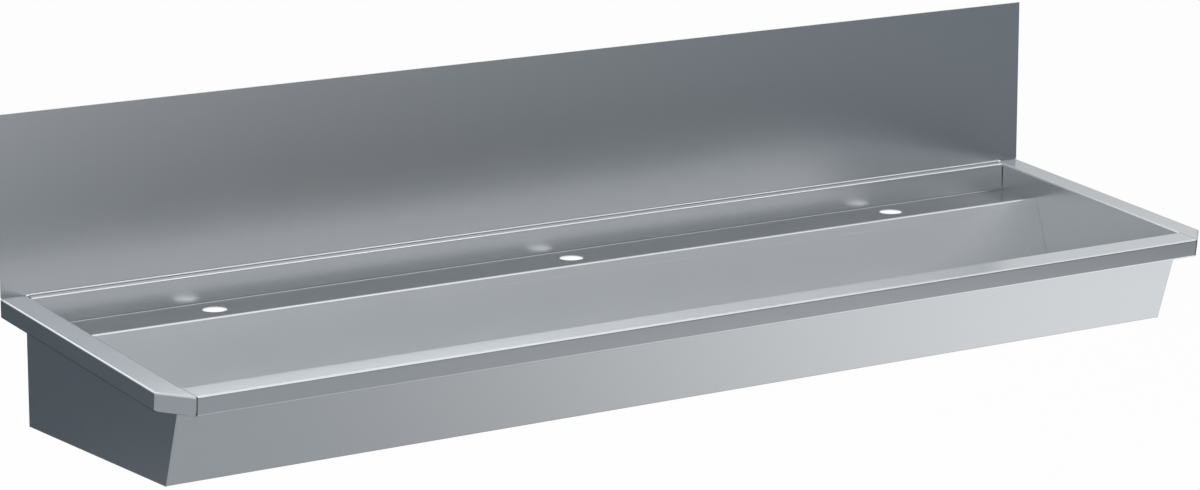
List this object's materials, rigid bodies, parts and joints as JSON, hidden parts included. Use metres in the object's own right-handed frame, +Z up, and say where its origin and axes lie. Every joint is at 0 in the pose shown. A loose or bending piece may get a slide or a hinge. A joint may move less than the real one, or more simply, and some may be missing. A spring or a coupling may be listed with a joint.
{
  "type": "trough sink",
  "caption": "Wall-hung wash trough of folded stainless sheet: sloping rim, open bowl, tap ledge with round tap holes, upright splashback and waste with lift-out strainer.",
  "frame": {"origin": "on the wall plane at mid length, at the height where the sloping rim meets the wall", "axes": "+X to the right of a person who faces the trough, +Y into the wall, +Z up"},
  "size_m": [1.8, 0.4665, 0.463],
  "materials": {
    "sheet_steel": "satin brushed",
    "bracket_steel": "mill finish",
    "fastener_steel": "turned",
    "waste_steel": "polished",
    "nut_plastic": "moulded",
    "seal_rubber": "matt",
    "damping_pad": "matt sheet"
  },
  "bodies": {
    "trough": {"front_section": "sheet_steel", "tap_ledge": "sheet_steel", "back_slope": "sheet_steel", "bowl_bottom": "sheet_steel", "left_end": "sheet_steel", "right_end": "sheet_steel", "splashback": "sheet_steel", "wall_bracket_1": "bracket_steel", "wall_bracket_2": "bracket_steel", "wall_bracket_3": "bracket_steel", "wall_bracket_4": "bracket_steel", "front_channel": "bracket_steel", "earth_tag": "bracket_steel", "splash_studs": "fastener_steel", "splash_nuts": "fastener_steel", "seat_studs": "fastener_steel", "seat_washers": "fastener_steel", "seat_nuts": "fastener_steel", "waste_body": "waste_steel", "waste_nut": "nut_plastic", "splash_seal": "seal_rubber", "waste_gasket": "seal_rubber", "waste_washer": "seal_rubber", "damping_pad_left": "damping_pad", "damping_pad_right": "damping_pad"},
    "strainer": {"strainer": "waste_steel", "strainer_knob": "waste_steel"}
  },
  "joints": [
    {"name": "strainer_lift", "type": "slide", "parent": "trough", "child": "strainer", "axis": [0, 0, 1], "range_m": [0, 0.16]}
  ]
}
